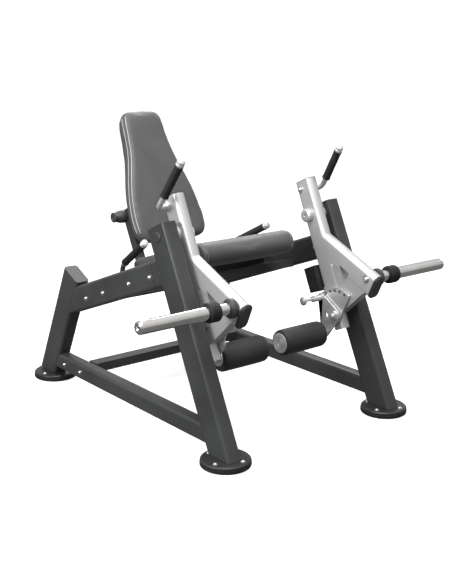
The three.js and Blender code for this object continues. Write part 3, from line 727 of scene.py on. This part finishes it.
def swollen(mesh, cap):
    # lets the cover swell under its filling, then holds each point within cap of where it started
    holder = bpy.data.objects.new("swelling", mesh)
    bpy.context.scene.collection.objects.link(holder)
    rest = [v.co.copy() for v in mesh.vertices]
    cloth = holder.modifiers.new("cloth", "CLOTH")
    cloth.settings.quality = 5
    cloth.settings.mass = softening["mass"]
    cloth.settings.tension_stiffness = cloth.settings.compression_stiffness = softening["stretch"]
    cloth.settings.shear_stiffness = softening["shear"]
    cloth.settings.bending_stiffness = softening["bending"]
    cloth.settings.use_pressure = True
    cloth.settings.uniform_pressure_force = softening["pressure"]
    cloth.settings.effector_weights.gravity = 0
    cloth.collision_settings.use_collision = False
    cloth.point_cache.frame_start = 1
    cloth.point_cache.frame_end = softening["frames"]
    scene = bpy.context.scene
    for number in range(1, softening["frames"] + 1):
        scene.frame_set(number)
    made = bpy.data.meshes.new_from_object(holder.evaluated_get(bpy.context.evaluated_depsgraph_get()))
    scene.frame_set(1)
    for vertex, start in zip(made.vertices, rest):
        step = vertex.co - start
        if step.length > cap:
            vertex.co = start + step.normalized() * cap
    bpy.data.objects.remove(holder)
    bpy.data.meshes.remove(mesh)
    return made


def smoothed(bm):
    bmesh.ops.smooth_vert(bm, verts=bm.verts, factor=0.5, use_axis_x=True, use_axis_y=True, use_axis_z=True)


def refined(mesh, passes):
    bm = bmesh.new()
    bm.from_mesh(mesh)
    for i in range(passes):
        smoothed(bm)
    bmesh.ops.subdivide_edges(bm, edges=bm.edges, cuts=1, use_grid_fill=True, smooth=0.0)
    smoothed(bm)
    bpy.data.meshes.remove(mesh)
    return bm


seatShape = {
    "halfWidth": 0.2375, "rollY": -0.207, "rollZ": 0.672, "rollRadius": 0.0455, "tilt": 18.0, "length": 0.469,
    "thickness": 0.0700, "endRound": 0.013, "swell": 0.005, "seamX": 0.2260, "seamDepth": 0.0022,
    "seamWidth": 0.0035, "rowGap": 0.0065, "piping": 0.0028, "smoothing": 3,
    "panGap": 0.0008, "panFrom": 0.045, "bends": 24, "rowOut": 0.02, "rowSteps": 40,
    "pipeAt": (0.0265, 0.0095), "pipeShort": 0.004,    # along the seat and above the bottom of the roll
}


def seatPoint(x, along, off):
    s = seatShape
    t = math.radians(s["tilt"])
    return Vector((x, s["rollY"] + along * math.cos(t) + off * math.sin(t),
                   s["rollZ"] - along * math.sin(t) + off * math.cos(t)))


def buildSeat():
    s = seatShape
    r = s["rollRadius"]
    low = r - s["thickness"]
    start = math.asin(low / r)
    sweep = 1.5 * math.pi + start
    bm = bmesh.new()
    ring = []
    for i in range(s["bends"] + 1):
        t = start - sweep * i / s["bends"]
        ring.append(bm.verts.new(seatPoint(-s["halfWidth"], r * math.cos(t), r * math.sin(t))))
    for along, off in ((s["length"] * 0.35, r), (s["length"] * 0.7, r), (s["length"] - 0.02, r),
                       (s["length"] - 0.006, r - 0.006), (s["length"], r - 0.02), (s["length"], low)):
        ring.append(bm.verts.new(seatPoint(-s["halfWidth"], along, off)))
    end = bm.faces.new(ring)
    grown = bmesh.ops.extrude_face_region(bm, geom=[end])["geom"]
    bmesh.ops.translate(bm, verts=[g for g in grown if isinstance(g, bmesh.types.BMVert)],
                        vec=(2 * s["halfWidth"], 0, 0))
    bmesh.ops.recalc_face_normals(bm, faces=bm.faces)
    rims = [e for e in bm.edges if len({round(v.co.x, 4) for v in e.verts}) == 1]
    bmesh.ops.bevel(bm, geom=rims, offset=s["endRound"], offset_type="OFFSET", segments=4, profile=0.5,
                    affect="EDGES", clamp_overlap=True, material=-1)
    mesh = remeshed(bm)
    mesh = swollen(mesh, s["swell"])
    bm = refined(mesh, s["smoothing"])
    flat = Vector((0, math.sin(math.radians(s["tilt"])), math.cos(math.radians(s["tilt"]))))
    heart = Vector((0, s["rollY"], s["rollZ"]))
    behind = Vector((0, flat.z, -flat.y))
    for vertex in bm.verts:
        seam = math.exp(-((abs(vertex.co.x) - s["seamX"]) / s["seamWidth"]) ** 2)
        vertex.co -= vertex.normal * s["seamDepth"] * seam
        off = (vertex.co - heart).dot(flat)
        along = (vertex.co - heart).dot(behind)
        if along > s["panFrom"] and off < low - s["panGap"]:
            vertex.co += flat * (low - s["panGap"] - off)       # flat where it lies on the pan
    seat = place("seat_cover", bm, "vinyl", "frame", ["seat_cushion"], 180)
    rows = []
    steps = s["rowSteps"]
    for sign in (-1, 1):
        for gap in (-s["rowGap"], s["rowGap"]):
            x = sign * (s["seamX"] + gap)
            out = r + s["rowOut"]    # off the cover, where the stitches then find its nearest point
            path = []
            for i in range(steps):
                t = start - sweep * i / (steps - 1)
                path.append(seatPoint(x, out * math.cos(t), out * math.sin(t)))
            for i in range(1, steps + 1):
                path.append(seatPoint(x, (s["length"] - s["rowOut"]) * i / steps, out))
            rows.append(path)
    stitched("seat_stitching", seat, rows, "frame", "darkThread")
    reach = s["seamX"] - s["pipeShort"]
    along, above = s["pipeAt"]
    under = [seatPoint(reach * share, along, above - r) for share in (-1, -0.5, 0, 0.5, 1)]
    place("seat_piping", tube(under, s["piping"], 12), "welt", "frame", (), 180)


stitchShape = {"pitch": 0.0080, "length": 0.0064, "radius": 0.00125, "flat": 0.8, "proud": 0.0002}


def stitched(name, cover, paths, body, thread):
    # short stitches laid on the cover along each path, which may run a little off it
    tree = BVHTree.FromObject(cover, bpy.context.evaluated_depsgraph_get())
    bm = bmesh.new()
    for path in paths:
        spots = [tree.find_nearest(p) for p in path]
        travelled = 0.0
        due = stitchShape["pitch"]
        for (a, na, _, _), (b, nb, _, _) in zip(spots, spots[1:]):
            span = (b - a).length
            while span > 1e-6 and travelled + span >= due:
                share = (due - travelled) / span
                spot = a.lerp(b, share)
                normal = na.lerp(nb, share).normalized()
                ahead = (b - a).normalized()
                across = ahead.cross(normal).normalized()
                turn = Matrix((across, normal, ahead)).transposed().to_4x4()
                size = Matrix.Diagonal((stitchShape["radius"], stitchShape["radius"] * stitchShape["flat"],
                                        stitchShape["length"] / 2, 1))
                shift = Matrix.Translation(spot + normal * stitchShape["proud"])
                bmesh.ops.create_uvsphere(bm, u_segments=6, v_segments=5, radius=1.0,
                                          matrix=shift @ turn @ size)
                due += stitchShape["pitch"]
            travelled += span
    return place(name, bm, thread, body, (), 180)


backShape = {
    "lean": 26.0, "footY": 0.2528, "footZ": 0.6361, "thickness": 0.0625, "round": 0.014, "swell": 0.007,
    "outline": ((0.0, 0.001), (0.110, 0.002), (0.152, 0.006), (0.180, 0.030), (0.191, 0.090), (0.188, 0.150),
                (0.180, 0.210), (0.166, 0.270), (0.146, 0.335), (0.129, 0.395), (0.116, 0.478),
                (0.1085, 0.545), (0.100, 0.578), (0.080, 0.5965), (0.045, 0.6010), (0.0, 0.6020)),
    "smoothing": 8, "boardGap": 0.0005, "corner": 0.024,
    "seamDepth": 0.0017, "seamWidth": 0.0032, "seamTop": 0.590, "seamFade": 0.030,
    "rowGap": 0.0062, "rowFrom": 0.036, "rowTo": 0.576, "rowInset": 0.004, "rowOut": 0.006,
    "tuckFrom": 0.018, "tuckTo": 0.058, "tuck": 0.010, "middle": 0.300, "halfWidth": 0.150, "heart": 0.25,
    "boardWide": 0.90, "boardTall": 0.96, "boardEdge": 0.003,
}


def backPlace():
    t = math.radians(backShape["lean"])
    up = Vector((0, math.sin(t), math.cos(t)))
    back = Vector((0, math.cos(t), -math.sin(t)))
    turn = Matrix(((-1, 0, 0), (0, up.y, back.y), (0, up.z, back.z))).to_4x4()
    return Matrix.Translation((0, backShape["footY"], backShape["footZ"])) @ turn


def backOutline():
    # closed smooth line of the pad's shape, in its own plane
    half = backShape["outline"]
    points = list(half) + [(-x, s) for x, s in reversed(half[1:-1])]
    line = bpy.data.curves.new("outline", "CURVE")
    line.dimensions = "2D"
    line.fill_mode = "BOTH"
    line.resolution_u = 8
    spline = line.splines.new("BEZIER")
    spline.bezier_points.add(len(points) - 1)
    for knot, (x, s) in zip(spline.bezier_points, points):
        knot.co = (x, s, 0)
        knot.handle_left_type = knot.handle_right_type = "AUTO"
    spline.use_cyclic_u = True
    return line


def curveMesh(line):
    holder = bpy.data.objects.new("outline", line)
    bpy.context.scene.collection.objects.link(holder)
    bpy.context.view_layer.update()
    mesh = bpy.data.meshes.new_from_object(holder.evaluated_get(bpy.context.evaluated_depsgraph_get()))
    bpy.data.objects.remove(holder)
    return mesh


def outlineLoop(shrink):
    # points in order round the outline, moved inwards by shrink
    line = backOutline()
    line.dimensions = "3D"
    line.fill_mode = "FULL"
    mesh = curveMesh(line)
    points = [v.co.copy() for v in mesh.vertices]
    bpy.data.meshes.remove(mesh)
    count = len(points)
    heart = Vector((0, backShape["heart"], 0))
    moved = []
    for i, p in enumerate(points):
        ahead = (points[(i + 1) % count] - points[i - 1]).normalized()
        inward = Vector((-ahead.y, ahead.x, 0))
        if (heart - p).dot(inward) < 0:
            inward = -inward
        moved.append(p + inward * shrink)
    return moved + moved[:1]


def buildBack():
    s = backShape
    line = backOutline()
    line.bevel_depth = s["round"]
    line.bevel_resolution = 5
    line.extrude = s["thickness"] / 2 - s["round"]
    line.offset = -s["round"]
    mesh = curveMesh(line)
    bm = bmesh.new()
    bm.from_mesh(mesh)
    bmesh.ops.remove_doubles(bm, verts=bm.verts, dist=1e-5)
    bmesh.ops.recalc_face_normals(bm, faces=bm.faces)
    bmesh.ops.translate(bm, verts=bm.verts, vec=(0, 0, s["thickness"] / 2))
    mesh = remeshed(bm)
    mesh = swollen(mesh, s["swell"])
    bm = refined(mesh, s["smoothing"])
    loop = outlineLoop(0)
    deep = s["thickness"] - s["boardGap"]
    for vertex in bm.verts:
        z = vertex.co.z
        # the cover is drawn in towards the board behind
        share = max(0.0, min(1.0, (z - s["tuckFrom"]) / (s["tuckTo"] - s["tuckFrom"])))
        if share > 0:
            draw = s["tuck"] * share * share * (3 - 2 * share)
            vertex.co.x *= 1 - draw / s["halfWidth"]
            vertex.co.y = s["middle"] + (vertex.co.y - s["middle"]) * (1 - draw / s["middle"])
        if z < s["corner"]:
            edge = nearestDistance(vertex.co, loop)
            if edge < s["corner"]:
                # the seam follows the corner where the face meets the side band
                seam = math.exp(-((edge - z) / s["seamWidth"]) ** 2)
                seam *= max(0.0, min(1.0, (s["seamTop"] - vertex.co.y) / s["seamFade"]))
                vertex.co -= vertex.normal * s["seamDepth"] * seam
        elif z > deep:
            vertex.co.z = deep                                    # flat where it lies on the board
    onFrame = backPlace()
    bm.transform(onFrame)
    back = place("back_cover", bm, "vinyl", "back", ["back_cushion"], 180)
    rows = []
    rowInset = s["rowInset"] + s["rowGap"]
    for inset, out in ((rowInset, -s["rowOut"]), (-s["rowOut"], rowInset)):    # on the face, then the band
        line = outlineLoop(inset)
        for sign in (-1, 1):
            part = [p for p in line if p.x * sign > 0 and s["rowFrom"] < p.y < s["rowTo"]]
            part.sort(key=lambda p: p.y)
            rows.append([onFrame @ Vector((p.x, p.y, out)) for p in part])
    stitched("back_stitching", back, rows, "back", "thread")
    board = merged("back_board")
    board.transform(onFrame.inverted())
    for vertex in board.verts:
        vertex.co.x *= s["boardWide"]
        vertex.co.y = s["middle"] + (vertex.co.y - s["middle"]) * s["boardTall"]
    board.transform(onFrame)
    soften(board, s["boardEdge"], 3)
    place("back_board_finish", board, "plastic", "back", ["back_board"])


def nearestDistance(p, loop):
    best = 1.0
    for a, b in zip(loop, loop[1:]):
        dx, dy = b.x - a.x, b.y - a.y
        px, py = p.x - a.x, p.y - a.y
        span = dx * dx + dy * dy
        t = max(0.0, min(1.0, (px * dx + py * dy) / span)) if span else 0.0
        d = math.hypot(px - t * dx, py - t * dy)
        best = d if d < best else best
    return best


knobShape = {"root": 0.028, "tip": 0.021, "neck": 0.0586, "stem": 0.008}


def buildCarriage():
    dressed("back_carriage", "frame", "back", tubeFinish["plateEdge"])
    low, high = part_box("back_pin")
    mid = (low + high) / 2
    length = high.x - low.x
    root, tip, neck, stem = (knobShape[key] for key in ("root", "tip", "neck", "stem"))
    profile = [(0.003, 0), (0.003, 0.010), (0.0, 0.012), (0.0, tip - 0.003), (0.0015, tip + 0.001),
               (0.006, tip + 0.001), (0.0075, tip - 0.001), (0.010, tip - 0.001), (0.034, root - 0.001),
               (0.052, root), (neck - 0.001, root - 0.001), (neck, root - 0.003), (neck, stem),
               (length, stem), (length, 0)]
    knob = turned(profile, Vector((low.x, mid.y, mid.z)), (1, 0, 0), 48)
    place("back_pin_finish", knob, "plastic", "back_knob", ["back_pin"])


seatHandleShape = {
    "low": (0.272, 0.248, 0.569), "high": (0.324, 0.026, 0.694), "radius": 0.011, "rise": 0.045,
    "foot": (-0.003, -0.016, 0.008), "elbow": (-0.002, 0.020, -0.026),
    "flange": ((-0.002, 0), (-0.002, 0.016), (0.004, 0.016), (0.007, 0.012), (0.008, 0)),
    "cap": ((-0.014, 0), (-0.014, 0.0145), (-0.012, 0.0155), (-0.005, 0.0155), (-0.004, 0.014),
            (-0.002, 0.014), (-0.001, 0.0155), (0.005, 0.0155), (0.009, 0.012), (0.0108, 0.006), (0.0105, 0)),
    "ring": ((-0.004, 0.0112), (-0.004, 0.0150), (-0.003, 0.0158), (0.004, 0.0158), (0.005, 0.0150),
             (0.005, 0.0112)),
    "gripRadius": 0.0155, "gripFrom": 0.006, "gripShort": 0.0204,
}


def buildSeatHandles():
    h = seatHandleShape
    for label, side in sides:
        low, high = mirrored(side, h["low"]), mirrored(side, h["high"])
        lift = (high - low).normalized()
        boxLow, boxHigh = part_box(f"seat_handle_{label}")
        foot = Vector((low.x, boxHigh.y, boxLow.z)) + mirrored(side, h["foot"])
        elbow = low + mirrored(side, h["elbow"])
        line = [foot, foot + Vector((0, 0, h["rise"])), elbow, low, low.lerp(high, 0.5), high]
        rod = tube(line, h["radius"], 24)
        flange = turned(h["flange"], foot, (0, 0, 1), 36)
        place(f"seat_handle_{label}_finish", joined(rod, flange), "frame", "frame", [f"seat_handle_{label}"])
        cap = turned(h["cap"], high, lift, 36)
        ring = turned(h["ring"], low, lift, 36, closed=True)
        place(f"seat_handle_trim_{label}", joined(cap, ring), "steel", "frame")
        reach = (high - low).length
        sleeve = ribbedSleeve(low + lift * h["gripFrom"], lift, reach - h["gripShort"], h["gripRadius"])
        place(f"seat_grip_{label}_finish", sleeve, "rubber", "frame", [f"seat_grip_{label}"])


buildFrame()
buildFeet()
buildBolts()
buildPivots()
print("frame dressed")
buildArms()
buildHandles()
buildHorns()
buildRollers()
buildLinks()
print("arms dressed")
buildSeatHandles()
buildCarriage()
buildSeat()
buildBack()
print("soft goods made")


# floor, light and camera

studio = {
    "floor": 0.80, "glow": 0.50,
    "sky": ((-1.0, 0.16), (-0.02, 0.20), (0.03, 0.46), (0.45, 0.62), (1.0, 1.0)),    # height, strength
    "lamps": (
        # where, size, watts
        ((-0.6, -0.9, 3.2), 2.0, 88),
        ((-3.6, -0.2, 1.7), 1.7, 98),
        ((1.9, 1.9, 2.8), 1.8, 45),
    ),
    "aim": (0, -0.1, 0.55),
    "bowl": ((0, 0), (0, 34), (1.2, 39), (18, 46)),    # height, radius
}


def buildStudio():
    bowl = turned(studio["bowl"], (0, 0, 0), (0, 0, 1), 96, edge=0)
    mesh = bpy.data.meshes.new("studio_floor")
    bowl.to_mesh(mesh)
    bowl.free()
    f = Finish("paleFloor")
    tone = f.noise(3.0, 2.0)
    mesh.materials.append(f.done(f.mixed(tone, grey(studio["floor"]), grey(studio["floor"] * 1.02)), 0.85,
                                 Emission_Color=(1, 1, 1, 1), Emission_Strength=studio["glow"]))
    mesh.shade_smooth()
    floor = bpy.data.objects.new("studio_floor", mesh)
    bpy.context.scene.collection.objects.link(floor)
    floor.visible_diffuse = False
    floor.visible_glossy = False
    floor.visible_shadow = False
    world = bpy.data.worlds.new("studio")
    bpy.context.scene.world = world
    world.use_nodes = True
    tree = world.node_tree
    where = tree.nodes.new("ShaderNodeTexCoord")
    split = tree.nodes.new("ShaderNodeSeparateXYZ")
    height = tree.nodes.new("ShaderNodeMapRange")
    ramp = tree.nodes.new("ShaderNodeValToRGB")
    height.inputs["From Min"].default_value = -1
    tree.links.new(where.outputs["Generated"], split.inputs[0])
    tree.links.new(split.outputs["Z"], height.inputs["Value"])
    tree.links.new(height.outputs[0], ramp.inputs[0])
    tree.links.new(ramp.outputs[0], tree.nodes["Background"].inputs["Color"])
    sky = studio["sky"]
    for level, strength in sky[1:-1]:
        ramp.color_ramp.elements.new((level + 1) / 2)
    for element, (level, strength) in zip(ramp.color_ramp.elements, sky):
        element.position = (level + 1) / 2
        element.color = (strength, strength, strength, 1)
    for i, (spot, size, watts) in enumerate(studio["lamps"]):
        lamp = bpy.data.lights.new(f"softbox_{i + 1}", "AREA")
        lamp.shape = "DISK"
        lamp.size = size
        lamp.energy = watts
        holder = bpy.data.objects.new(lamp.name, lamp)
        holder.location = spot
        holder.rotation_euler = (Vector(studio["aim"]) - Vector(spot)).to_track_quat("-Z", "Y").to_euler()
        bpy.context.scene.collection.objects.link(holder)


cameraShape = {
    "place": (-2.4844, -3.1284, 1.4986), "turn": -39.288, "down": 14.715, "roll": 0.422,
    "lens": 60.33, "film": 36, "reach": 200,
}


def buildCamera():
    c = cameraShape
    lens = bpy.data.cameras.new("camera")
    lens.lens = c["lens"]
    lens.sensor_width = c["film"]
    lens.clip_end = c["reach"]
    camera = bpy.data.objects.new("camera", lens)
    camera.location = c["place"]
    turn, tilt, roll = (Matrix.Rotation(math.radians(angle), 4, axis) for angle, axis in
                        ((c["turn"], "Z"), (90 - c["down"], "X"), (c["roll"], "Z")))
    camera.rotation_euler = (turn @ tilt @ roll).to_euler()
    bpy.context.scene.collection.objects.link(camera)
    bpy.context.scene.camera = camera


buildStudio()
buildCamera()
bpy.context.scene.view_settings.view_transform = "Standard"
print("studio set")
